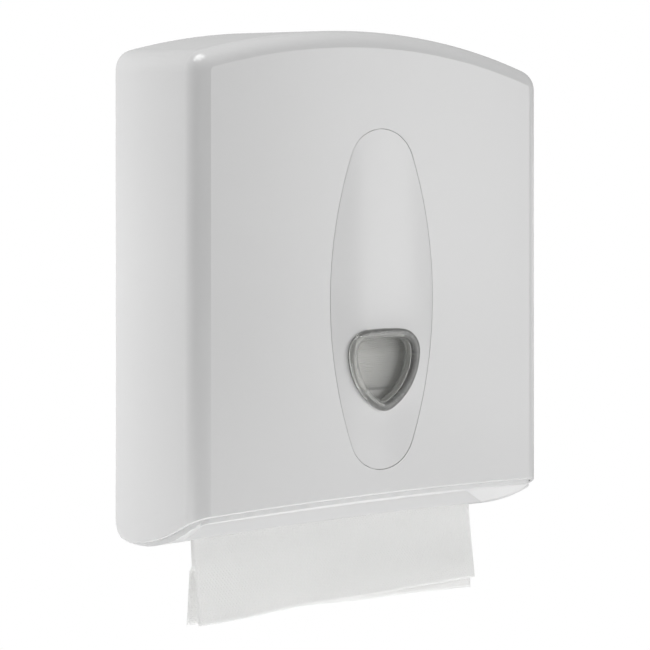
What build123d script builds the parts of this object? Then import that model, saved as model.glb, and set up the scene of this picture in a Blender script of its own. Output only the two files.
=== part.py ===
from build123d import *
import os
from math import degrees, hypot, radians, sqrt, tan

# Wall-mounted dispenser for folded paper hand towels, in millimetres.
# +Z is up and the front faces -Y.  The plane y = 0 is the wall, and the origin is the centre of the
# four wall screws on it.  The front cover swings down and forward on two pins at its lower back corners.

# ---- Case ---------------------------------------------------------------------------------------
case_width = 300.0
case_depth = 127.0  # from the wall to the rim of the front face
front_bow = 1.8  # how far the middle of the front stands proud of its rim
crown_z = 177.9  # top of the arch, in the plane of the front rim
crown_radius = 475.0  # of the arch, seen from the front
top_rise = 11.4  # the roof climbs this much from the front rim to the wall
roof_corner = 16.2  # radius where the arch meets the sides
front_round = 15.8  # radius of the band round the front face
rim_trim = 0.22  # shaved off the front, so that the band ends in a faint crease
cover_wall = 3.0
wall_gap = 0.8  # between the back edge of the cover and the wall

# ---- Lower edge of the cover, an S-curve seen from the side -------------------------------------------
lip_z = -154.5  # lower edge of the front, at the sides of the case
lip_arch = 2.0  # how much higher every lower edge is in the middle
lip_reach = 38.0  # length of the curve's handle at the front
lip_slope = 0.5  # fall of that handle per length
lip_round = 1.0
tail_reach = 38.0  # length of the curve's level handle at the back
hinge_inset = 14.0  # from the wall to the hinge axis
hinge_z = -175.4

# ---- Fits ------------------------------------------------------------------------------------------
shell_gap = 0.8  # between the cover and what it closes over
seat_gap = 0.3  # between a soft piece or a clipped one and its seat
pin_clearance = 0.06  # radial, where something turns
press_clearance = 0.02  # radial, where a pin or screw is held

# ---- Chassis ------------------------------------------------------------------------------------------
back_plate = 3.0
cheek_wall = 2.5
cheek_depth = 50.0  # how far the cheeks and the roof flange reach from the wall
wall_screw_dx = 180.0
wall_screw_dz = 220.0
wall_screw_hole = 2.75  # radius
screw_pad_radius = 9.0
screw_pad_height = 2.0
rib_height = 3.0
rib_width = 2.0
rib_x = 60.0

# ---- Tray -----------------------------------------------------------------------------------------------
tray_wall = 2.5
tray_top_z = -143.0
tray_lip_drop = 4.8  # the tray's front edge below the cover's lip
tray_tail_drop = 2.2  # the same at the back
tray_lip_reach = 27.0  # handles of its S-curve
tray_lip_slope = 0.6
tray_tail_reach = 43.0
support_z = -147.0  # level on which the stack of towels rests
tray_rib_pitch = 30.0
tray_rib_count = 8
scoop_half_width = 143.7
scoop_front_inset = 6.3  # from the front rim to the finger scoop
scoop_back_inset = 53.0
scoop_draft = 7.0  # of its back wall, in degrees
scoop_ceiling_round = 5.0
scoop_ramp_half = 129.5  # its ends are sloping planes, which reach this far out at the slot
scoop_ramp_slope = 0.6  # rise of a plane per length towards the middle
scoop_ramp_sweep = 1.05  # how much further out it gets per length towards the front
slot_half_width = 139.0
slot_front_inset = 55.5
slot_back_inset = 67.0
slot_lip_arch = 3.5  # the slot's front lip is this much higher in the middle
tray_screw_z = -160.0
tray_screw_dx = 90.0
screw_shank = 1.7  # radius
screw_head_radius = 3.6
screw_head = 2.2

# ---- Hinge ----------------------------------------------------------------------------------------------
pin_radius = 3.0
pin_head_radius = 5.0
pin_head_length = 2.0
cover_boss_radius = 7.5
cover_boss_length = 6.0
ear_radius = 9.0
ear_width = 4.5
ear_gap = 0.5

# ---- Oval panel --------------------------------------------------------------------------------------
panel_z = -13.1  # centre
panel_half_width = 44.4
panel_half_height = 121.8
panel_end_radius = 28.0
panel_crown = 2.2  # how far its middle stands proud of its seam
panel_seam = 0.35
panel_seat_depth = 2.4  # of the recess that it lies in
panel_backing = 2.5
peg_radius = 2.0
peg_hole_gap = 0.2
peg_head = 0.5  # how far the snap head overhangs its hole, radially
peg_dx = 20.0
peg_dz = 85.0

# ---- Window -------------------------------------------------------------------------------------------
window_z = -63.2
window_corner_x = 13.7  # centre of an upper corner's arc, from the window's centre
window_corner_z = 12.2
window_corner_radius = 16.5
window_tip_z = -17.5  # centre of the lower tip's arc
window_tip_radius = 12.0
window_top_radius = 180.0
window_side_radius = 46.4
window_crest = 4.0  # height of the ring above the panel
window_seat_depth = 1.6  # how deep the ring sits in the panel
window_ring = 6.0
window_ring_round = 2.6
window_inner_round = 2.4
window_pane_depth = 11.0  # from the ring's crest to the pane
window_pane = 2.0
window_pane_round = 1.0
window_draft = 0.09  # narrowing of the hollow, per depth
window_tube_inset = 4.0
retainer_thickness = 2.0
retainer_rim = 6.0

# ---- Lock ---------------------------------------------------------------------------------------------
lock_inset = 38.0  # from the wall to its axis
lock_recess = 3.4  # depth of the pocket in the roof, at the lock's axis
lock_pocket_radius = 13.0
lock_floor = 3.0
lock_head_radius = 11.5
lock_head = 1.8
lock_body_radius = 9.0
lock_body_length = 20.0
lock_core_radius = 6.0
lock_core_head_radius = 7.5
lock_core_head = 1.4
lock_tang = 6.0
lock_washer_thickness = 1.0
lock_nut_flats = 22.0
lock_nut_thickness = 4.0
cam_thickness = 3.0
cam_length = 29.0
cam_width = 10.0
keep_gap = 0.5
keep_thickness = 2.5
notch_half_width = 17.0
keep_width = 16.0

# ---- Guides and towels -----------------------------------------------------------------------------
towel_width = 245.0
towel_depth = 98.0
stack_height = 232.0
stack_inset = 14.0  # from the wall to the stack
guide_wall = 2.0
guide_depth = 96.0
guide_height = 215.0
guide_side_gap = 1.0
guide_slope_y = 26.0  # its front upper corner is cut away by this much
guide_slope_z = 40.0
guide_flange = 8.0
guide_tab_height = 14.0
towel_ply = 0.9
towel_end_z = -238.0  # lower edge of the hanging towels
leading_shift = 0.0  # the towels hang a little off centre
following_shift = -1.0
leading_swing = 9.0  # the lower edge of the front panel stands this much forward

# ---- Worked out from the sizes above ---------------------------------------------------------------
half_width = case_width / 2
roof_slope = top_rise / case_depth
bow_half = half_width - front_round
bow_radius = (bow_half**2 + front_bow**2) / (2 * front_bow)
bow_axis_y = bow_radius - case_depth - front_bow
hinge_y = -hinge_inset
tail_z = hinge_z - (hinge_inset - wall_gap)
chassis_inset = cover_wall + shell_gap
tray_back_y = -back_plate - 0.2
beyond = 40.0  # margin by which cutting solids pass the case


def front_y(inset):
    """Depth of a plane that lies inset behind the rim of the front face."""
    return -case_depth + inset


def roof_z(y, inset=0.0):
    """Height of the roof's ridge line at depth y."""
    return crown_z + roof_slope * (y + case_depth) - inset


def block(x_span, y_span, z_span):
    """Rectangular solid between two corners."""
    size = [high - low for low, high in (x_span, y_span, z_span)]
    middle = [(high + low) / 2 for low, high in (x_span, y_span, z_span)]
    return Pos(*middle) * Box(*size)


def rod(radius, start, end):
    """Cylinder of a radius from one point to another."""
    line = Vector(*end) - Vector(*start)
    return extrude(Plane(origin=start, z_dir=line) * Circle(radius), line.length)


def along_x(outline, x_span):
    """Extrudes a closed wire drawn in the side view from one x to another."""
    face = make_face(outline)
    return Pos(x_span[0], 0, 0) * extrude(face, x_span[1] - x_span[0], dir=(1, 0, 0))


def along_y(face, y_span):
    """Extrudes a face drawn in the front view, at y = 0, from one y to another."""
    return Pos(0, y_span[0], 0) * extrude(face, y_span[1] - y_span[0], dir=(0, 1, 0))


# ---- Case form -------------------------------------------------------------------------------------
def bow_cylinder(radius, z_span):
    """Upright cylinder whose near side is the bowed front."""
    return rod(radius, (0, bow_axis_y, z_span[0]), (0, bow_axis_y, z_span[1]))


def case_form(inset, back_y):
    """The arched, round-edged body of the case, taken in by inset all round, down past its lower edge.

    The outline is extruded back and slightly upward, which makes the climbing roof.  The front is
    bowed and its edges rounded, and then a thin slice is shaved off, which leaves the faint crease."""
    start_y = -case_depth - front_bow - 2.0
    side_x = half_width - inset
    ridge_z = roof_z(start_y, inset)
    low_z = tail_z - beyond
    arch = crown_radius - inset
    eave_z = ridge_z - arch + sqrt(arch**2 - side_x**2)
    roof = ThreePointArc((-side_x, 0, eave_z), (0, 0, ridge_z), (side_x, 0, eave_z))
    rest = Polyline((side_x, 0, eave_z), (side_x, 0, low_z), (-side_x, 0, low_z), (-side_x, 0, eave_z))
    face = make_face(Wire([roof, *rest.edges()]))
    eaves = [vertex for vertex in face.vertices() if vertex.Z > low_z + 1]
    face = fillet(eaves, roof_corner - inset)
    depth = back_y + beyond - start_y
    prism = Pos(0, start_y, 0) * extrude(face, depth * hypot(1, roof_slope), dir=(0, 1, roof_slope))
    z_span = (low_z - beyond, roof_z(0) + beyond)
    body = prism & bow_cylinder(bow_radius + rim_trim - inset, z_span)
    body = body & block((-case_width, case_width), (start_y, back_y), (low_z + 20, z_span[1]))
    front = body.faces().sort_by(Axis.Y)[0]
    front_edges = front.edges().sort_by(Axis.Z)[1:]
    body = fillet(front_edges, front_round - inset)
    return body & bow_cylinder(bow_radius - inset, z_span)


def s_curve(front, back, front_reach, back_reach, front_slope):
    """Lower edge in the side view: leaves the front on a slope and runs out level at the back."""
    handle_front = (0, front[0] + front_reach, front[1] - front_reach * front_slope)
    handle_back = (0, back[0] - back_reach, back[1])
    return Bezier((0, *front), handle_front, handle_back, (0, *back))


def arch_face(half_span, y, end_z, rise):
    """Face at depth y of what lies below a shallow arch."""
    low_z = end_z - 2 * beyond
    ends = [(x, y, end_z) for x in (-half_span, half_span)]
    arch = ThreePointArc(ends[0], (0, y, end_z + rise), ends[1])
    rest = Polyline(ends[1], (half_span, y, low_z), (-half_span, y, low_z), ends[0])
    return make_face(Wire([arch, *rest.edges()]))


def region_above(curve, tail_radius, back_y, high_z):
    """Everything over a lower edge: the side-view curve, then a round of its own up to the back.

    The curve is that of the sides."""
    front, tail = curve @ 0, curve @ 1
    centre = tail + Vector(0, 0, tail_radius)
    run = back_y - tail.Y
    to_end = Vector(0, run, -sqrt(max(tail_radius**2 - run**2, 0)))
    middle = centre + (to_end + Vector(0, 0, -tail_radius)).normalized() * tail_radius
    round_tail = ThreePointArc(tail, middle, centre + to_end)
    slope = curve % 0
    far = front - slope * beyond
    rest = Polyline(centre + to_end, (0, back_y, high_z), (0, far.Y, high_z), far, front)
    face = Pos(0, 0, lip_arch) * make_face(Wire([curve, round_tail, *rest.edges()]))
    # The outline swings round a far axis below the case, which arches the lower edges.
    arch_radius = (half_width**2 + lip_arch**2) / (2 * lip_arch)
    axis = Axis((0, 0, lip_z - arch_radius), (0, 1, 0))
    angle = degrees((half_width + beyond) / arch_radius)
    return revolve(face, axis, 2 * angle).rotate(axis, -angle)


def tangent_outline(circles, inset, centre_z):
    """Closed outline of arcs, each circle touching the next from inside, taken in by inset.

    circles is a list of ((x, z), radius), in clockwise order."""
    joints = []
    for pair in zip(circles, circles[1:] + circles[:1]):
        small, large = sorted(pair, key=lambda circle: circle[1])
        centre = Vector(large[0][0], 0, large[0][1])
        away = Vector(small[0][0], 0, small[0][1]) - centre
        joints.append(centre + away.normalized() * (large[1] - inset))
    arcs = []
    for index, ((x, z), radius) in enumerate(circles):
        centre = Vector(x, 0, z)
        start, end = joints[index - 1], joints[index]
        middle = centre + (start - centre + end - centre).normalized() * (radius - inset)
        arcs.append(ThreePointArc(start, middle, end))
    return Pos(0, 0, centre_z) * make_face(Wire(arcs))


# ---- Front cover -----------------------------------------------------------------------------------
panel_rim_y = bow_axis_y - sqrt(bow_radius**2 - panel_half_width**2)
panel_seat_y = panel_rim_y + panel_seat_depth
panel_back_y = panel_seat_y + panel_backing
lock_y = -lock_inset
lock_seat_z = roof_z(lock_y) - lock_recess
lock_under_z = lock_seat_z - lock_floor


def panel_face(inset):
    """Oval of two long side arcs and two short end arcs."""
    end_z = panel_half_height - panel_end_radius
    side_radius = panel_half_width**2 + end_z**2 - panel_end_radius**2
    side_radius = side_radius / (2 * (panel_half_width - panel_end_radius))
    side_x = side_radius - panel_half_width
    circles = [
        ((-side_x, 0), side_radius),
        ((0, -end_z), panel_end_radius),
        ((side_x, 0), side_radius),
        ((0, end_z), panel_end_radius),
    ]
    return tangent_outline(circles, inset, panel_z)


def window_face(inset):
    """Shield: nearly straight top, two round upper corners, bulging flanks and a round lower tip."""
    top_z = window_corner_z - sqrt((window_top_radius - window_corner_radius) ** 2 - window_corner_x**2)
    to_corner = window_side_radius - window_corner_radius
    to_tip = window_side_radius - window_tip_radius
    span_x, span_z = window_corner_x, window_corner_z - window_tip_z
    span = hypot(span_x, span_z)
    along = (to_tip**2 - to_corner**2 + span**2) / (2 * span)
    aside = sqrt(to_tip**2 - along**2)
    side_x = (along * span_x - aside * span_z) / span
    side_z = window_tip_z + (along * span_z + aside * span_x) / span
    circles = [
        ((0, top_z), window_top_radius),
        ((window_corner_x, window_corner_z), window_corner_radius),
        ((side_x, side_z), window_side_radius),
        ((0, window_tip_z), window_tip_radius),
        ((-side_x, side_z), window_side_radius),
        ((-window_corner_x, window_corner_z), window_corner_radius),
    ]
    return tangent_outline(circles, inset, window_z)


def peg_places():
    """Centres of the panel's snap pegs, as (x, z)."""
    return [(x, panel_z + z) for x in (-peg_dx, peg_dx) for z in (-peg_dz, peg_dz)]


def make_front_cover():
    curve = s_curve((front_y(0), lip_z), (hinge_y, tail_z), lip_reach, tail_reach, lip_slope)
    region = region_above(curve, hinge_inset - wall_gap, -wall_gap, crown_z + beyond)
    outer = case_form(0, -wall_gap)
    body = outer & region
    # Its lower edge is rounded on the outside.
    low = [edge for edge in body.edges() if edge.center().Z < lip_z + lip_arch + 1]
    ends = half_width - front_round
    low = [edge for edge in low if edge.center().Y < front_y(-0.5) or abs(edge.center().X) > ends]
    cover = fillet(low, lip_round) - case_form(cover_wall, 1.0)
    # A pad behind the oval recess, for the panel and the window to seat on.
    pad = along_y(panel_face(-panel_backing), (panel_seat_y - 0.5, panel_back_y))
    recess = along_y(panel_face(0), (front_y(-beyond), panel_seat_y))
    hole = along_y(window_face(window_tube_inset - seat_gap), (front_y(-beyond), panel_back_y + 1))
    cover = cover + pad - recess - hole
    for x, z in peg_places():
        cover = cover - rod(peg_radius + peg_hole_gap, (x, panel_seat_y - 1, z), (x, panel_back_y + 1, z))
    # The lock's pocket in the roof, with its boss below.
    boss = rod(lock_pocket_radius + 2, (0, lock_y, lock_under_z), (0, lock_y, roof_z(lock_y) + 5)) & outer
    pocket = rod(lock_pocket_radius, (0, lock_y, lock_seat_z), (0, lock_y, roof_z(0) + 5))
    lock_hole = rod(lock_body_radius + press_clearance, (0, lock_y, lock_under_z - 1), (0, lock_y, roof_z(0)))
    cover = cover + boss - pocket - lock_hole
    # Blind hinge bosses inside the side walls.
    for side in (-1, 1):
        wall_x = side * (half_width - cover_wall)
        boss_x = wall_x - side * cover_boss_length
        cover = cover + rod(cover_boss_radius, (boss_x, hinge_y, hinge_z), (wall_x + side, hinge_y, hinge_z))
        bore_end = (wall_x + side * 1.2, hinge_y, hinge_z)
        cover = cover - rod(pin_radius + pin_clearance, (boss_x - side, hinge_y, hinge_z), bore_end)
    return cover


# ---- Oval panel, window and retainer -------------------------------------------------------------
def panel_surface_y(z):
    """Depth of the crowned panel on its centre line at height z."""
    return panel_rim_y - panel_crown * (1 - ((z - panel_z) / panel_half_height) ** 2)


window_seat_y = panel_surface_y(window_z) + window_seat_depth
window_crest_y = panel_surface_y(window_z) - window_crest


def panel_crown_form():
    """Doubly curved body whose near side is the crowned face of the panel."""
    top_y = panel_rim_y - panel_crown
    radius_x = (panel_half_width**2 + panel_crown**2) / (2 * panel_crown)
    radius_z = (panel_half_height**2 + panel_crown**2) / (2 * panel_crown)
    half = panel_half_width + 10
    edge_y = top_y + radius_x - sqrt(radius_x**2 - half**2)
    arc = ThreePointArc((-half, edge_y, panel_z), (0, top_y, panel_z), (half, edge_y, panel_z))
    deep_y = panel_seat_y + 10
    rest = Polyline(
        (half, edge_y, panel_z), (half, deep_y, panel_z), (-half, deep_y, panel_z), (-half, edge_y, panel_z)
    )
    axis = Axis((0, top_y + radius_z, panel_z), (1, 0, 0))
    angle = degrees((panel_half_height + 10) / radius_z)
    return revolve(make_face(Wire([arc, *rest.edges()])), axis, 2 * angle).rotate(axis, -angle)


def make_oval_panel():
    panel = along_y(panel_face(panel_seam), (front_y(-beyond), panel_seat_y)) & panel_crown_form()
    panel = panel - along_y(window_face(-press_clearance), (front_y(-beyond), window_seat_y))
    panel = panel - along_y(window_face(window_tube_inset - seat_gap), (front_y(-beyond), panel_seat_y + 1))
    head_y = panel_back_y + press_clearance
    for x, z in peg_places():
        panel = panel + rod(peg_radius, (x, panel_seat_y - 0.5, z), (x, head_y + 1.4, z))
        panel = panel + rod(peg_radius + peg_head, (x, head_y, z), (x, head_y + 0.8, z))
    return panel


def make_viewing_window():
    pane_y = window_crest_y + window_pane_depth
    ring = along_y(window_face(0), (window_crest_y, window_seat_y))
    ring = fillet(ring.faces().sort_by(Axis.Y)[0].edges(), window_ring_round)
    tube = along_y(window_face(window_tube_inset), (window_seat_y - 0.5, pane_y + window_pane))
    mouth = Pos(0, window_crest_y - 1, 0) * window_face(window_ring - window_draft)
    bottom = Pos(0, pane_y, 0) * window_face(window_ring + window_draft * window_pane_depth)
    hollow = loft([mouth, bottom], ruled=True)
    hollow = fillet(hollow.faces().sort_by(Axis.Y)[-1].edges(), window_pane_round)
    window = ring + tube - hollow
    crest = window.faces().sort_by(Axis.Y)[0]
    return fillet(crest.inner_wires()[0].edges(), window_inner_round)


def make_window_retainer():
    start_y = panel_back_y + press_clearance
    span = (start_y, start_y + retainer_thickness)
    ring = along_y(window_face(window_tube_inset - retainer_rim), span)
    return ring - along_y(window_face(window_tube_inset - seat_gap / 2), (span[0] - 1, span[1] + 1))


# ---- Lock ------------------------------------------------------------------------------------------
lock_head_z = lock_seat_z + lock_head
lock_body_z = lock_seat_z - lock_body_length
cam_top_z = lock_body_z - 0.5
cam_bottom_z = cam_top_z - cam_thickness


def lock_rod(radius, low_z, high_z):
    """Upright cylinder on the lock's axis."""
    return rod(radius, (0, lock_y, low_z), (0, lock_y, high_z))


def make_lock_housing():
    housing = lock_rod(lock_head_radius, lock_seat_z, lock_head_z)
    housing = housing + lock_rod(lock_body_radius, lock_body_z, lock_seat_z + 0.5)
    seat = lock_rod(lock_core_head_radius + pin_clearance, lock_head_z - lock_core_head, lock_head_z + 1)
    housing = housing - seat
    return housing - lock_rod(lock_core_radius + pin_clearance, lock_body_z - 1, lock_head_z)


def make_lock_washer():
    low_z = lock_under_z - lock_washer_thickness
    ring = lock_rod(lock_pocket_radius, low_z, lock_under_z - press_clearance)
    return ring - lock_rod(lock_body_radius + 2 * press_clearance, low_z - 1, lock_under_z + 1)


def make_lock_nut():
    high_z = lock_under_z - lock_washer_thickness - press_clearance
    plane = Plane(origin=(0, lock_y, high_z - lock_nut_thickness))
    hexagon = RegularPolygon(lock_nut_flats / 2, 6, major_radius=False)
    nut = extrude(plane * hexagon, lock_nut_thickness)
    return nut - lock_rod(lock_body_radius + press_clearance, high_z - lock_nut_thickness - 1, high_z + 1)


def make_lock_core():
    core = lock_rod(lock_core_head_radius, lock_head_z - lock_core_head + pin_clearance, lock_head_z)
    core = core + lock_rod(lock_core_radius, cam_top_z + 0.2, lock_head_z - 0.5)
    half = lock_tang / 2
    tang = block((-half, half), (lock_y - half, lock_y + half), (cam_bottom_z + 0.2, cam_top_z + 1))
    core = core + tang
    key_slot = block((-4.0, 4.0), (lock_y - 0.8, lock_y + 0.8), (lock_head_z - 7, lock_head_z + 1))
    return core - key_slot - lock_rod(1.5 + press_clearance, cam_bottom_z - 1, cam_top_z + 4)


def make_lock_cam():
    """Tongue that points at the wall when open and along the roof, behind the keep, when locked."""
    half = cam_width / 2
    tip_y = lock_y + cam_length
    arm = block((-half, half), (lock_y, tip_y - half), (cam_bottom_z, cam_top_z))
    for y, radius in ((lock_y, lock_body_radius - 1), (tip_y - half, half)):
        arm = arm + rod(radius, (0, y, cam_bottom_z), (0, y, cam_top_z))
    hole = lock_tang / 2 + press_clearance
    return arm - block((-hole, hole), (lock_y - hole, lock_y + hole), (cam_bottom_z - 1, cam_top_z + 1))


def make_cam_screw():
    head = lock_rod(4.6, cam_bottom_z - 2.2, cam_bottom_z - press_clearance)
    head = chamfer(head.edges().sort_by(Axis.Z)[0], 1.0)
    screw = head + lock_rod(1.5, cam_bottom_z - 1, cam_top_z + 3.5)
    return screw - block((-0.5, 0.5), (lock_y - 3.4, lock_y + 3.4), (cam_bottom_z - 3, cam_bottom_z - 1.2))


# ---- Chassis ------------------------------------------------------------------------------------------
plate_bottom_z = hinge_z - ear_radius
guide_inner_x = towel_width / 2 + guide_side_gap
guide_tabs = (-90.0, 20.0)
tray_screw_xs = (-tray_screw_dx, 0.0, tray_screw_dx)


def make_chassis():
    every_x = (-case_width, case_width)
    high_z = roof_z(0) + beyond
    hollow = case_form(chassis_inset + cheek_wall, 1.0)
    hollow = hollow & block(every_x, (-case_width, -back_plate), (-case_width, high_z))
    chassis = case_form(chassis_inset, 0) - hollow
    chassis = chassis & block(every_x, (-cheek_depth, 0), (plate_bottom_z, high_z))
    chassis = chassis - block(every_x, (-case_width, -back_plate), (-case_width, tray_top_z + shell_gap))
    # Ribs on the back plate, and pads round the wall screws.
    rib_y = (-back_plate - rib_height, -back_plate + 0.5)
    for side in (-1, 1):
        middle = side * rib_x
        chassis = chassis + block((middle - rib_width / 2, middle + rib_width / 2), rib_y, (-125.0, 150.0))
        reach = guide_inner_x - 8
        chassis = chassis + block((-reach, reach), rib_y, (middle - rib_width / 2, middle + rib_width / 2))
    for x in (-wall_screw_dx / 2, wall_screw_dx / 2):
        for z in (-wall_screw_dz / 2, wall_screw_dz / 2):
            chassis = chassis + rod(screw_pad_radius, (x, -back_plate - screw_pad_height, z), (x, -1, z))
            chassis = chassis - rod(wall_screw_hole, (x, -beyond, z), (x, 1, z))
    # Slots for the guides' tabs, and holes for the tray's screws.
    for side in (-1, 1):
        middle = side * (guide_inner_x + guide_wall / 2)
        half = guide_wall / 2 + press_clearance
        for z in guide_tabs:
            z_span = (z - guide_tab_height / 2 - 0.1, z + guide_tab_height / 2 + 0.1)
            chassis = chassis - block((middle - half, middle + half), (-back_plate - 1, 1), z_span)
    for x in tray_screw_xs:
        ends = (x, -back_plate - 1, tray_screw_z), (x, -0.4, tray_screw_z)
        chassis = chassis - rod(screw_shank + press_clearance, *ends)
    # Notch for the lock in the roof flange, and the keep that the tongue locks behind.
    notch_y = (-cheek_depth - 1, lock_y + notch_half_width)
    chassis = chassis - block((-notch_half_width, notch_half_width), notch_y, (cam_bottom_z - 10, high_z))
    keep_y = lock_y - cam_width / 2 - keep_gap
    flange_z = roof_z(keep_y, chassis_inset + cheek_wall)
    keep = block(
        (notch_half_width + 1, notch_half_width + 1 + keep_width),
        (keep_y - keep_thickness, keep_y),
        (cam_bottom_z - 4, flange_z + 1),
    )
    chassis = chassis + keep
    # Ears that hold the hinge pins.
    for side in (-1, 1):
        outer_x = side * (half_width - cover_wall - cover_boss_length - ear_gap)
        inner_x = outer_x - side * ear_width
        x_span = (min(outer_x, inner_x), max(outer_x, inner_x))
        ear = rod(ear_radius, (inner_x, hinge_y, hinge_z), (outer_x, hinge_y, hinge_z))
        ear = ear + block(x_span, (hinge_y, -1), (hinge_z - ear_radius, hinge_z + ear_radius))
        chassis = chassis + ear
        hole_ends = (inner_x - side, hinge_y, hinge_z), (outer_x + side, hinge_y, hinge_z)
        chassis = chassis - rod(pin_radius + press_clearance, *hole_ends)
    return chassis


def make_hinge_pin(side):
    """Pin with its head inside the ear and its end in the cover's blind boss."""
    wall_x = side * (half_width - cover_wall)
    ear_x = wall_x - side * (cover_boss_length + ear_gap + ear_width)
    shank = rod(pin_radius, (ear_x - side, hinge_y, hinge_z), (wall_x + side * 0.8, hinge_y, hinge_z))
    head_x = ear_x - side * press_clearance
    head_end_x = head_x - side * pin_head_length
    head = rod(pin_head_radius, (head_end_x, hinge_y, hinge_z), (head_x, hinge_y, hinge_z))
    return shank + head


# ---- Dispensing tray -------------------------------------------------------------------------------
tray_front_z = lip_z - tray_lip_drop
tray_tail_z = tail_z - tray_tail_drop
tray_tail_radius = hinge_z - tray_tail_z
slot_y_span = (front_y(slot_front_inset), front_y(slot_back_inset))
slot_middle_y = (slot_y_span[0] + slot_y_span[1]) / 2
slot_depth = slot_back_inset - slot_front_inset


def tray_curve(lift):
    """The tray's lower edge in the side view, raised by lift."""
    front = (front_y(chassis_inset), tray_front_z + lift)
    return s_curve(front, (hinge_y, tray_tail_z + lift), tray_lip_reach, tray_tail_reach, tray_lip_slope)


def tray_region(lift, back_y):
    return region_above(tray_curve(lift), tray_tail_radius - lift, back_y, tray_top_z + beyond)


def curve_height(curve, y):
    """Height of a side-view curve at depth y."""
    crossing = curve.intersect(Plane(origin=(0, y, 0), z_dir=(0, 1, 0)))
    return crossing.vertices()[0].Z


# The tray's underside at the front of the slot.
slot_lip_z = curve_height(tray_curve(0), slot_y_span[0])


def scoop_form(grow, ceiling_z):
    """Hollow that fingers reach into, grown all round by grow.

    Its back wall is drafted, and each end is a plane that slopes up, in and back from the tray's side."""
    low_z = tray_tail_z - 5
    front, back = front_y(scoop_front_inset - grow), front_y(scoop_back_inset + grow)
    back_top = back - (ceiling_z - low_z) * tan(radians(scoop_draft))
    corners = [(0, front, low_z), (0, front, ceiling_z), (0, back_top, ceiling_z), (0, back, low_z)]
    half = scoop_half_width + grow
    form = along_x(Polyline(*corners, close=True), (-half, half))
    ceiling = form.faces().sort_by(Axis.Z)[-1].edges().filter_by(Axis.X)
    form = fillet(ceiling, scoop_ceiling_round + grow)
    for side in (-1, 1):
        outward = Vector(side, scoop_ramp_sweep, 1 / scoop_ramp_slope).normalized()
        foot = Vector(side * scoop_ramp_half, front_y(slot_front_inset), slot_lip_z) + outward * grow
        form = form - extrude(Plane(origin=foot, z_dir=outward) * Rectangle(900, 900), 300)
    return form


def make_dispensing_tray():
    wall_y = tray_back_y - tray_wall
    outer = case_form(chassis_inset, tray_back_y) & tray_region(0, tray_back_y)
    outer = outer & block((-case_width, case_width), (-case_width, 0), (tray_tail_z - beyond, tray_top_z))
    inner = case_form(chassis_inset + tray_wall, wall_y) & tray_region(tray_wall, wall_y)
    tray = outer - inner
    # The back wall of the throat, the ribs behind it that carry the stack, and the skin of the scoop.
    throat_y = slot_y_span[1]
    floor_z = tray_tail_z - beyond
    carried = block((-half_width, half_width), (throat_y, throat_y + tray_wall), (floor_z, support_z))
    first_x = -tray_rib_pitch * (tray_rib_count - 1) / 2
    for index in range(tray_rib_count):
        x = first_x + tray_rib_pitch * index
        x_span = (x - rib_width / 2, x + rib_width / 2)
        carried = carried + block(x_span, (throat_y + 1, wall_y + 1), (floor_z, support_z))
    carried = carried + scoop_form(tray_wall, support_z)
    tray = tray + (carried & outer) - scoop_form(0, support_z - tray_wall)
    # The towel slot, down through the floor, with its front lip arched.
    slot_plane = Plane(origin=(0, slot_middle_y, floor_z))
    slot = extrude(slot_plane * SlotOverall(2 * slot_half_width, slot_depth), support_z + 1 - floor_z)
    lip_face = arch_face(slot_half_width - 3, slot_y_span[0] - 4, slot_lip_z, slot_lip_arch)
    tray = tray - slot - extrude(lip_face, 5, dir=(0, 1, 0))
    # Clearances for the cover's hinge bosses and the chassis' ears, and the screw holes.
    boss_radius = cover_boss_radius + shell_gap
    ear_margin = ear_radius + shell_gap
    for side in (-1, 1):
        boss_x = side * (half_width - cover_wall - cover_boss_length - 1)
        far_x = side * (half_width + 1)
        x_span = (min(boss_x, far_x), max(boss_x, far_x))
        tray = tray - rod(boss_radius, (boss_x, hinge_y, hinge_z), (far_x, hinge_y, hinge_z))
        tray = tray - block(x_span, (hinge_y, 1), (hinge_z - boss_radius, hinge_z + boss_radius))
        ear_x = side * (half_width - cover_wall - cover_boss_length - ear_gap - ear_width / 2)
        half = ear_width / 2 + shell_gap
        z_span = (hinge_z - beyond, hinge_z + ear_margin)
        tray = tray - block((ear_x - half, ear_x + half), (wall_y - 3, 1), z_span)
    for x in tray_screw_xs:
        tray = tray - rod(screw_shank + 0.4, (x, wall_y - 1, tray_screw_z), (x, 1, tray_screw_z))
    return tray


def make_tray_screws():
    """Three pan-head screws that hold the tray's back wall to the chassis."""
    head_y = tray_back_y - tray_wall - press_clearance
    screws = []
    for x in tray_screw_xs:
        head = rod(screw_head_radius, (x, head_y - screw_head, tray_screw_z), (x, head_y, tray_screw_z))
        head = chamfer(head.edges().sort_by(Axis.Y)[0], 0.9)
        for reach_x, reach_z in ((2.2, 0.4), (0.4, 2.2)):
            x_span = (x - reach_x, x + reach_x)
            z_span = (tray_screw_z - reach_z, tray_screw_z + reach_z)
            head = head - block(x_span, (head_y - 3, head_y - 1.2), z_span)
        screws.append(head + rod(screw_shank, (x, head_y - 0.5, tray_screw_z), (x, -0.6, tray_screw_z)))
    return Compound(children=screws)


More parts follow.
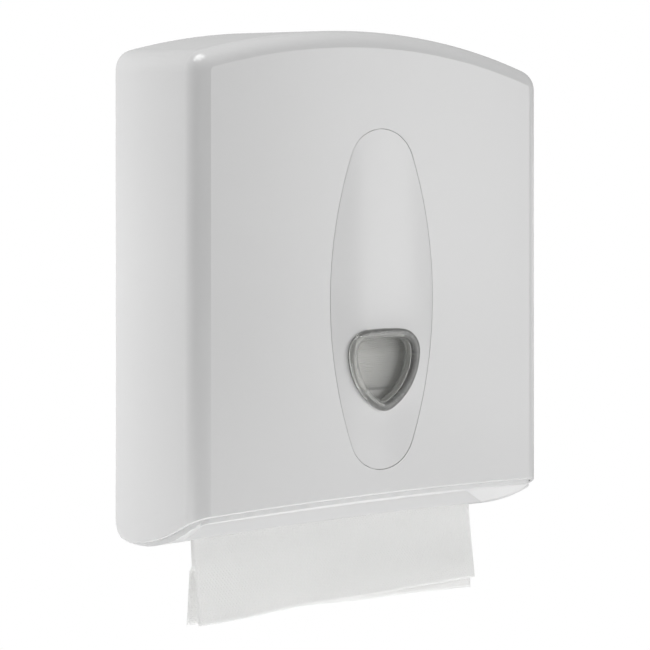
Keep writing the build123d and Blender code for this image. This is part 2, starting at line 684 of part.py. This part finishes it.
# ---- Guides and towels -----------------------------------------------------------------------------
def make_towel_guide(side):
    """Upright plate beside the stack, with a flange on the chassis and two tabs through it."""
    back_y = -back_plate
    front = back_y - guide_depth
    top_z = support_z + guide_height
    step_y = tray_back_y - tray_wall - shell_gap
    step_z = tray_top_z + shell_gap
    corners = [
        (0, back_y, step_z),
        (0, step_y, step_z),
        (0, step_y, support_z),
        (0, front, support_z),
        (0, front, top_z - guide_slope_z),
        (0, front + guide_slope_y, top_z),
        (0, back_y, top_z),
    ]
    inner_x = side * guide_inner_x
    outer_x = side * (guide_inner_x + guide_wall)
    x_span = (min(inner_x, outer_x), max(inner_x, outer_x))
    guide = along_x(Polyline(*corners, close=True), x_span)
    far_x = outer_x + side * guide_flange
    flange_x = (min(inner_x, far_x), max(inner_x, far_x))
    guide = guide + block(flange_x, (back_y - guide_wall, back_y), (support_z + 10, top_z))
    for z in guide_tabs:
        z_span = (z - guide_tab_height / 2, z + guide_tab_height / 2)
        guide = guide + block(x_span, (back_y - 1, -0.4), z_span)
    return guide


def make_towel_stack():
    half = towel_width / 2
    low_z = support_z + seat_gap
    return block((-half, half), (-stack_inset - towel_depth, -stack_inset), (low_z, low_z + stack_height))


def make_hanging_towel(near_y, shift, swing, end_z):
    """Single ply that drops straight through the slot and then hangs, its lower edge swung forward."""
    bend_z = slot_lip_z - 1.5
    near = [(near_y, support_z), (near_y, bend_z), (near_y - swing, end_z)]
    far = [(y + towel_ply, z) for y, z in reversed(near)]
    outline = Polyline(*[(0, y, z) for y, z in near + far], close=True)
    return along_x(outline, (shift - towel_width / 2, shift + towel_width / 2))


# ---- Pieces ----------------------------------------------------------------------------------------
pieces = {
    "front_cover": make_front_cover(),
    "oval_panel": make_oval_panel(),
    "viewing_window": make_viewing_window(),
    "window_retainer": make_window_retainer(),
    "lock_housing": make_lock_housing(),
    "lock_washer": make_lock_washer(),
    "lock_nut": make_lock_nut(),
    "lock_core": make_lock_core(),
    "lock_cam": make_lock_cam(),
    "cam_screw": make_cam_screw(),
    "chassis": make_chassis(),
    "dispensing_tray": make_dispensing_tray(),
    "tray_screws": make_tray_screws(),
    "towel_guide_left": make_towel_guide(-1),
    "towel_guide_right": make_towel_guide(1),
    "hinge_pin_left": make_hinge_pin(-1),
    "hinge_pin_right": make_hinge_pin(1),
    "towel_stack": make_towel_stack(),
    "leading_towel": make_hanging_towel(slot_y_span[0] + 0.6, leading_shift, leading_swing, towel_end_z),
    "following_towel": make_hanging_towel(slot_y_span[1] - 3.0, following_shift, 0.5, towel_end_z - 3.0),
}

os.makedirs("parts", exist_ok=True)
for name, shape in pieces.items():
    export_step(shape, f"parts/{name}.step")
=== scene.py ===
import bpy
import math
import random

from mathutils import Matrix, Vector, noise


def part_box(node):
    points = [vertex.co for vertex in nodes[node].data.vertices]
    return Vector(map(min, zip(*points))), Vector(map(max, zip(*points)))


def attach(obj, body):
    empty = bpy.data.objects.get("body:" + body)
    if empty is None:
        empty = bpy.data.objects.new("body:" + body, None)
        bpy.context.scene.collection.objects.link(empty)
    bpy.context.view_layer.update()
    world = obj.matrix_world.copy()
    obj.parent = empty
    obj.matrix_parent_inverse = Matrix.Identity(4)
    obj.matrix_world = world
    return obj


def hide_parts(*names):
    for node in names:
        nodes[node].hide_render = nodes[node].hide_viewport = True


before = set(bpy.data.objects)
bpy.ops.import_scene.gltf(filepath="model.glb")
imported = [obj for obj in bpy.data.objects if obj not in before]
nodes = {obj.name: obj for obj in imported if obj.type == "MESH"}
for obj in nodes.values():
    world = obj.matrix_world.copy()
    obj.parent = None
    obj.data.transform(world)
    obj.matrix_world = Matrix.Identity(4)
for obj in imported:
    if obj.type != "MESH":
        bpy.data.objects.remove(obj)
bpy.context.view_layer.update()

# ---- Studio -----------------------------------------------------------------------------------------
# A level camera to the left of the dispenser, a pale floor below it and soft lamps round it.  The
# background is plain white, while the floor near the object keeps its shadow.
camera_place = (-0.5966, -0.9978, 0.0478)
camera_turn = 32.23  # degrees from straight ahead
camera_lens = 81.65
camera_shift = -0.171
floor_height = -0.62
floor_reach = 9.0
floor_tone = 0.82
fade_start, fade_end = 0.45, 1.0  # the floor turns to plain white between these distances
world_tone = 0.15
mirrored_tone = 0.45

camera_data = bpy.data.cameras.new("studio_camera")
camera_data.lens = camera_lens
camera_data.sensor_width = 36.0
camera_data.shift_y = camera_shift
camera = bpy.data.objects.new("studio_camera", camera_data)
camera.location = camera_place
camera.rotation_euler = (math.radians(90), 0, math.radians(-camera_turn))
bpy.context.scene.collection.objects.link(camera)
bpy.context.scene.camera = camera
bpy.context.scene.view_settings.view_transform = "Standard"


class Reading:
    """One output of a shader node.  Arithmetic on it adds Math nodes to the same material."""

    def __init__(self, finish, output):
        self.finish = finish
        self.output = output

    def math(self, operation, first, second):
        return self.finish.node("ShaderNodeMath", {"operation": operation}, {0: first, 1: second})

    def __add__(self, other):
        return self.math("ADD", self, other)

    def __mul__(self, other):
        return self.math("MULTIPLY", self, other)

    def __sub__(self, other):
        return self.math("SUBTRACT", self, other)

    def __rsub__(self, other):
        return self.math("SUBTRACT", other, self)

    def __truediv__(self, other):
        return self.math("DIVIDE", self, other)

    __radd__ = __add__


class Finish:
    """A material, or the world, being put together from nodes."""

    def __init__(self, name, owner=None):
        self.owner = owner or bpy.data.materials.new(name)
        self.owner.use_nodes = True
        self.tree = self.owner.node_tree
        self.tree.nodes.clear()

    def node(self, kind, settings, sockets, output=0):
        """Adds a node: its settings first, then the values or links of its sockets."""
        made = self.tree.nodes.new(kind)
        for name, value in settings.items():
            setattr(made, name, value)
        for name, value in sockets.items():
            if isinstance(value, Reading):
                self.tree.links.new(value.output, made.inputs[name])
            else:
                made.inputs[name].default_value = value
        return Reading(self, made.outputs[output]) if made.outputs else None

    def place(self):
        """Position on the piece, in metres, which moves with it."""
        return self.node("ShaderNodeTexCoord", {}, {}, "Object")

    def speckle(self, size, detail=2.0, stretch=(1, 1, 1)):
        """Noise with features of a size in metres, from 0 to 1."""
        where = self.node("ShaderNodeMapping", {}, {"Vector": self.place(), "Scale": stretch})
        return self.node("ShaderNodeTexNoise", {}, {"Vector": where, "Scale": 1 / size, "Detail": detail})

    def between(self, value, low, high):
        """Takes a value's range from 0 to 1 to one from low to high."""
        return low + value * (high - low)

    def blend_colour(self, share, first, second):
        settings = {"data_type": "RGBA"}
        sockets = {0: share, 6: first, 7: second}
        return self.node("ShaderNodeMix", settings, sockets, 2)

    def bump(self, height, depth):
        """Normal from a height of 0 to 1 that stands for a depth in metres."""
        return self.node("ShaderNodeBump", {}, {"Height": height, "Distance": depth})

    def grey(self, kind, tone):
        """Background, diffuse or emission node of one grey tone."""
        return self.node(kind, {}, {"Color": (tone, tone, tone, 1)})

    def mix(self, share, first, second):
        return self.node("ShaderNodeMixShader", {}, {0: share, 1: first, 2: second})

    def surface(self, sockets):
        """Ends the material in a Principled shader with these sockets."""
        shader = self.node("ShaderNodeBsdfPrincipled", {}, sockets)
        self.node("ShaderNodeOutputMaterial", {}, {"Surface": shader})
        return self.owner


def is_ray(finish, kind):
    """1 for rays of a kind, such as those of the camera, and 0 for all others."""
    return finish.node("ShaderNodeLightPath", {}, {}, f"Is {kind} Ray")


def seen_directly(finish):
    """1 where the camera or a refraction looks, and 0 for light that falls on things."""
    sockets = {0: is_ray(finish, "Camera"), 1: is_ray(finish, "Transmission")}
    return finish.node("ShaderNodeMath", {"operation": "MAXIMUM"}, sockets)


world = bpy.data.worlds.new("studio_world")
bpy.context.scene.world = world
sky = Finish("sky", world)
sky_light = sky.grey("ShaderNodeBackground", world_tone)
sky_mirrored = sky.grey("ShaderNodeBackground", mirrored_tone)
sky_seen = sky.grey("ShaderNodeBackground", 1.0)
sky_around = sky.mix(is_ray(sky, "Glossy"), sky_light, sky_mirrored)
sky_mix = sky.mix(seen_directly(sky), sky_around, sky_seen)
sky.node("ShaderNodeOutputWorld", {}, {"Surface": sky_mix})

floor_mesh = bpy.data.meshes.new("floor")
floor_corners = [(-1, -1), (1, -1), (1, 1), (-1, 1)]
floor_points = [(floor_reach * x, floor_reach * y, floor_height) for x, y in floor_corners]
floor_mesh.from_pydata(floor_points, [], [(0, 1, 2, 3)])
floor = bpy.data.objects.new("floor", floor_mesh)
bpy.context.scene.collection.objects.link(floor)
floor_finish = Finish("pale_floor")
floor_paint = floor_finish.grey("ShaderNodeBsdfDiffuse", floor_tone)
floor_white = floor_finish.grey("ShaderNodeEmission", 1.0)
length_of = {"operation": "LENGTH"}
from_middle = floor_finish.node("ShaderNodeVectorMath", length_of, {0: floor_finish.place()}, "Value")
fade = {"Value": from_middle, "From Min": fade_start, "From Max": fade_end}
far_off = floor_finish.node("ShaderNodeMapRange", {"interpolation_type": "SMOOTHSTEP"}, fade)
floor_mix = floor_finish.mix(seen_directly(floor_finish) * far_off, floor_paint, floor_white)
floor_finish.node("ShaderNodeOutputMaterial", {}, {"Surface": floor_mix})
floor_mesh.materials.append(floor_finish.owner)


def add_lamp(name, place, aim, size, power, mirrored=True):
    """Rectangular soft lamp at a place, turned towards its aim, which glossy faces may mirror."""
    data = bpy.data.lights.new(name, "AREA")
    data.shape = "RECTANGLE"
    data.size, data.size_y = size
    data.energy = power
    lamp = bpy.data.objects.new(name, data)
    lamp.location = place
    lamp.visible_glossy = mirrored
    lamp.rotation_euler = (Vector(aim) - Vector(place)).to_track_quat("-Z", "Y").to_euler()
    bpy.context.scene.collection.objects.link(lamp)


add_lamp("front", (1.0, -1.9, 0.4), (0.1, -0.1, 0), (1.2, 1.2), 8.2)
add_lamp("right_front", (0.8, -1.1, 0.1), (0.1, -0.13, 0), (0.6, 0.8), 3.3)
add_lamp("low_front", (0.3, -1.6, -0.5), (0, -0.1, -0.1), (1.4, 0.6), 2.8)
add_lamp("low_right", (0.9, -1.2, -0.55), (0.1, -0.1, -0.15), (1.0, 0.6), 1.8)
add_lamp("overhead", (0, -0.2, 1.8), (0, -0.06, 0.1), (1.4, 1.2), 1.2)
add_lamp("upper_left", (-0.4, -0.1, 0.8), (-0.1, -0.06, 0.17), (0.4, 0.4), 3.9)
add_lamp("left_rear", (-0.36, 0.16, 0), (0.3, 0.1, 0), (0.12, 0.5), 0.7, mirrored=False)
add_lamp("right", (1.6, 0.15, -0.1), (0, 0, 0), (1.0, 0.5), 0.9)
add_lamp("rear", (0, 1.7, -0.2), (0, 0, 0), (1.0, 0.5), 5.0)
add_lamp("under", (0, -0.04, -0.6), (0, -0.06, -0.17), (0.7, 0.35), 0.75)
add_lamp("under_far_left", (-0.75, -0.15, -0.5), (0.1, -0.08, -0.17), (0.5, 0.4), 2.7)
add_lamp("under_front", (0, -0.25, -0.6), (0, -0.08, -0.17), (0.9, 0.3), 1.05)

# ---- Cover ------------------------------------------------------------------------------------------
# The front cover is one thin-walled moulding of glossy white ABS.  It turns on two pins at its lower
# back corners, and the oval panel is a second moulding that snaps into its front.
moulded_white = (0.74, 0.74, 0.74)
cover_roughness, panel_roughness = 0.24, 0.17


def moulded_plastic(name, colour, roughness, crown=None):
    """Injection-moulded plastic: nearly even colour, faint flow marks and a fine orange-peel skin.

    crown is the (half width, depth) of a slight extra fullness across the piece."""
    finish = Finish(name)
    flow = finish.speckle(0.09, 3.0, (1, 1, 0.5))
    fine = finish.speckle(0.012)
    shade = [c * 0.985 for c in colour]
    sockets = {
        "Base Color": finish.blend_colour(flow, (*shade, 1), (*colour, 1)),
        "Roughness": finish.between(fine * 0.5 + flow * 0.5, roughness - 0.03, roughness + 0.03),
        "Normal": finish.bump(finish.speckle(0.0006), 0.000006),
        "IOR": 1.5,
    }
    if crown:
        half_width, depth = crown
        across = finish.node("ShaderNodeSeparateXYZ", {}, {0: finish.place()}, "X") / half_width
        fullness = {"Height": 1 - across * across, "Distance": depth, "Normal": sockets["Normal"]}
        sockets["Normal"] = finish.node("ShaderNodeBump", {}, fullness)
    return finish.surface(sockets)


def give_finish(piece, material):
    piece.data.materials.clear()
    piece.data.materials.append(material)
    for face in piece.data.polygons:
        face.material_index = 0


give_finish(nodes["front_cover"], moulded_plastic("cover_plastic", moulded_white, cover_roughness))
panel_crown = (0.0444, 0.0008)
panel_plastic = moulded_plastic("panel_plastic", moulded_white, panel_roughness, panel_crown)
give_finish(nodes["oval_panel"], panel_plastic)


def shade_edges(piece):
    """Narrow roundings take their shading from the broad faces on either side of them."""
    edge_shading = piece.modifiers.new("edge_shading", "WEIGHTED_NORMAL")
    edge_shading.keep_sharp = True
    edge_shading.weight = 80


shade_edges(nodes["front_cover"])

# ---- Chassis, tray and guides -----------------------------------------------------------------------
# The back plate with its cheeks, the dispensing tray, the two towel guides and the window's retainer
# are mouldings of the same white plastic, with a duller skin than the cover.
inner_roughness = 0.38
for name in ("chassis", "dispensing_tray", "towel_guide_left", "towel_guide_right", "window_retainer"):
    give_finish(nodes[name], moulded_plastic(f"{name}_plastic", moulded_white, inner_roughness))
shade_edges(nodes["dispensing_tray"])

# ---- Window -----------------------------------------------------------------------------------------
# The window is one moulding of smoked clear plastic: a rounded frame that stands proud of the panel,
# and a thin pane at the bottom of its hollow.
smoke = (0.77, 0.775, 0.75, 1)
pane_depth = 0.011  # from the frame's crest to the face of the pane
pane_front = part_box("viewing_window")[0].y + pane_depth
pane_clearness = 0.6
pane_polish = 0.85  # how much smoother the pane is than its frame, as a share

smoked = Finish("smoked_plastic")
smoked_place = smoked.node("ShaderNodeSeparateXYZ", {}, {0: smoked.place()}, "Y")
pane_edge = {"Value": smoked_place, "From Min": pane_front - 0.0003, "From Max": pane_front - 0.0001}
in_pane = smoked.node("ShaderNodeMapRange", {}, pane_edge)
smoked_sockets = {
    "Base Color": smoke,
    "Roughness": smoked.between(smoked.speckle(0.006), 0.15, 0.2) * (1.0 - in_pane * pane_polish),
    "Normal": smoked.bump(smoked.speckle(0.002), 0.000004),
    "Transmission Weight": 0.75,
    "Alpha": 1.0 - in_pane * pane_clearness,
    "IOR": 1.49,
}
give_finish(nodes["viewing_window"], smoked.surface(smoked_sockets))

# ---- Metal pieces -----------------------------------------------------------------------------------
# The hinge pins are cut from rod, the tray's screws are cold-headed, and the lock's washer, nut, tongue
# and screw are stamped or turned.  All are steel with a bright zinc plating.
zinc = Finish("zinc_plate")
zinc_streak = zinc.speckle(0.0012, 2.0, (1, 1, 0.15))
zinc_sockets = {
    "Base Color": zinc.blend_colour(zinc.speckle(0.003), (0.56, 0.56, 0.54, 1), (0.66, 0.66, 0.66, 1)),
    "Metallic": 1.0,
    "Roughness": zinc.between(zinc_streak, 0.28, 0.42),
    "Normal": zinc.bump(zinc_streak, 0.00001),
}
zinc_plate = zinc.surface(zinc_sockets)
hinge_and_tray_metal = ("hinge_pin_left", "hinge_pin_right", "tray_screws")
lock_metal = ("lock_washer", "lock_nut", "lock_cam", "cam_screw")
for name in hinge_and_tray_metal + lock_metal:
    give_finish(nodes[name], zinc_plate)

# ---- Lock -------------------------------------------------------------------------------------------
# The housing screws up against the roof from below, and its core turns with a plastic key.  Both are
# white plastic.
lock_white, lock_roughness = (0.7, 0.7, 0.7), 0.34
for name in ("lock_housing", "lock_core"):
    give_finish(nodes[name], moulded_plastic(f"{name}_plastic", lock_white, lock_roughness))


# ---- Towel stack ------------------------------------------------------------------------------------
# Two bundles of interfolded paper towels lie on the tray, one on the other.  The folds show as fine
# lines at the front and back, and the cut edges at the sides.
def paper(name, colour, dot_depth):
    """Soft crepe paper, embossed all over with staggered dots."""
    finish = Finish(name)
    dot_pitch, row_pitch = 0.0024, 0.00155
    place = finish.place()
    across = finish.node("ShaderNodeSeparateXYZ", {}, {0: place}, "X") * (2 * math.pi / dot_pitch)
    down = finish.node("ShaderNodeSeparateXYZ", {}, {0: place}, "Z") * (math.pi / row_pitch)
    across_wave = finish.node("ShaderNodeMath", {"operation": "COSINE"}, {0: across})
    down_wave = finish.node("ShaderNodeMath", {"operation": "COSINE"}, {0: down})
    dots = finish.node("ShaderNodeMath", {"operation": "MAXIMUM"}, {0: across_wave * down_wave, 1: 0.0})
    fibres = finish.speckle(0.0006, 4.0)
    crepe = finish.speckle(0.0012, 2.0, (0.2, 1, 1))
    cloud = finish.speckle(0.03, 3.0)
    shade = [c * 0.96 for c in colour]
    sockets = {
        "Base Color": finish.blend_colour(cloud * 0.6 + fibres * 0.4, (*shade, 1), (*colour, 1)),
        "Roughness": finish.between(fibres, 0.82, 0.95),
        "Normal": finish.bump(fibres * 0.25 + crepe * 0.2 - dots * dots * 0.9, dot_depth),
        "Sheen Weight": 0.15,
        "Specular IOR Level": 0.2,
        "Subsurface Weight": 0.5,
        "Subsurface Radius": (1.0, 1.0, 1.0),
        "Subsurface Scale": 0.001,
    }
    return finish.surface(sockets)


def add_piece(name, points, faces, material):
    mesh = bpy.data.meshes.new(name)
    mesh.from_pydata(points, [], faces)
    mesh.materials.append(material)
    for face in mesh.polygons:
        face.use_smooth = True
    piece = bpy.data.objects.new(name, mesh)
    bpy.context.scene.collection.objects.link(piece)
    return piece


ply_pitch = 0.0015
fold_depth = 0.0009
edge_depth = 0.00015
bundle_break = -0.0791
bundle_gap = 0.0018
stack_low, stack_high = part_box("towel_stack")
random.seed(11)


def ring_places(count_x, count_y):
    """Places round a bundle, as (x share, y share) from -1 to 1, with one at each corner."""
    front = [(-1 + 2 * i / count_x, -1) for i in range(count_x)]
    right = [(1, -1 + 2 * i / count_y) for i in range(count_y)]
    back = [(1 - 2 * i / count_x, 1) for i in range(count_x)]
    left = [(-1, 1 - 2 * i / count_y) for i in range(count_y)]
    return front + right + back + left


def fold_bundle(bottom, top, lean):
    """Points and faces of one bundle: a ring at each fold's crest and one between it and the next."""
    around = ring_places(30, 12)
    plies = round((top - bottom) / ply_pitch)
    middle_y = (stack_low.y + stack_high.y) / 2
    half_x, half_y = stack_high.x - 0.0008, (stack_high.y - stack_low.y) / 2 - 0.0008
    points = []
    for level in range(2 * plies + 1):
        z = bottom + (top - bottom) * level / (2 * plies)
        dip = 1 if level % 2 == 0 else 0
        nudge_y, nudge_x = random.uniform(-0.0003, 0.0003), random.uniform(-0.0003, 0.0003)
        for share_x, share_y in around:
            wave = noise.noise(Vector((share_x * 2.5, share_y * 2.5, z * 90))) * 0.0004
            x = share_x * (half_x - dip * edge_depth + wave * 0.5) + nudge_x
            y = middle_y + share_y * (half_y - dip * fold_depth + wave) + nudge_y + lean
            points.append((x, y, z))
    count = len(around)
    faces = []
    for level in range(2 * plies):
        low, high = level * count, (level + 1) * count
        for i in range(count):
            j = (i + 1) % count
            faces.append((low + i, low + j, high + j, high + i))
    faces.append(tuple(reversed(range(count))))
    faces.append(tuple(range(2 * plies * count, (2 * plies + 1) * count)))
    return points, faces


# The stack is the same paper as the hanging towels, but its colour is darker: painted shade for the dim
# inside of the case.
shaded_stack_paper = paper("shaded_stack_paper", (0.72, 0.715, 0.70), 0.00012)
lower_points, lower_faces = fold_bundle(stack_low.z, bundle_break - bundle_gap / 2, -0.0003)
upper_points, upper_faces = fold_bundle(bundle_break + bundle_gap / 2, stack_high.z, 0.0005)
shifted = [tuple(i + len(lower_points) for i in face) for face in upper_faces]
bundles = add_piece("towel_bundles", lower_points + upper_points, lower_faces + shifted, shaded_stack_paper)
for face in bundles.data.polygons:
    face.use_smooth = False
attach(bundles, "base")
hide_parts("towel_stack")


# ---- Hanging towels ---------------------------------------------------------------------------------
# Two towels hang out of the slot.  The leading one stands a little forward, and the one that follows
# it hangs behind.  Each is one limp embossed sheet.
slot_drop = 0.0365  # from a towel's top edge to where it leaves the slot
towel_swing = 0.0088
towel_billow = 0.0022
wave_place = 2.0
towel_ply = 0.0003
hem_wave = 0.0012  # unevenness of the lower edge
side_trim = 0.0004
crease_start, crease_width = 0.28, 0.08  # share of the free length
crease_middle = crease_start + crease_width / 2


def hang_towel(name, node, start, longer, crease_back):
    """Sheet that drops straight through the slot at a depth of start, then swings forward with slow waves.

    longer is how much lower it ends at its left and right edges.  crease_back is how far the part
    below its crease hangs back at the left edge, just below the crease and at the bottom."""
    low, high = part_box(node)
    count_x, count_z = 96, 44
    points = []
    length = high.z - low.z
    for row in range(count_z + 1):
        s = row / count_z
        for column in range(count_x + 1):
            t = column / count_x
            x = low.x + side_trim + (high.x - low.x - 2 * side_trim) * t
            extra = longer[0] * (1 - t) ** 2 + longer[1] * t ** 2
            extra += noise.noise(Vector((t * 4.0, wave_place, 3.0))) * hem_wave
            z = high.z - side_trim - (length - hem_wave + extra) * s
            free = max(0.0, (high.z - z - slot_drop) / (length - slot_drop))
            slow = noise.noise(Vector((t * 2.2 + wave_place, s * 0.9, wave_place)))
            ripple = noise.noise(Vector((t * 5.0 + s * 2.0 + wave_place, s * 2.0, 7.0)))
            below = min(1.0, max(0.0, (free - crease_start) / crease_width))
            lower = max(0.0, (free - crease_middle) / (1 - crease_middle))
            back = crease_back[0] * below + (crease_back[1] - crease_back[0]) * lower
            billow = towel_billow * free * (slow + 0.35 * ripple)
            y = start - towel_swing * free ** 1.15 + billow + back * (1 - 0.75 * t)
            points.append((x, y, z))
    faces = []
    for row in range(count_z):
        for column in range(count_x):
            first = row * (count_x + 1) + column
            faces.append((first, first + 1, first + count_x + 2, first + count_x + 1))
    towel = add_piece(name, points, faces, towel_paper)
    thick = towel.modifiers.new("ply", "SOLIDIFY")
    thick.thickness = towel_ply
    thick.offset = 0
    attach(towel, "base")
    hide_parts(node)


towel_paper = paper("towel_paper", (0.95, 0.95, 0.935), 0.0003)
back_inset, ply_gap = 0.0009, 0.0012
slot_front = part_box("leading_towel")[1].y - back_inset
leading_longer, following_longer = (0.0035, 0.0006), (0.0035, 0.0065)
following_start = slot_front + ply_gap
following_back = (0.0036, 0.0147)
hang_towel("leading_sheet", "leading_towel", slot_front, leading_longer, (0, 0))
hang_towel("following_sheet", "following_towel", following_start, following_longer, following_back)
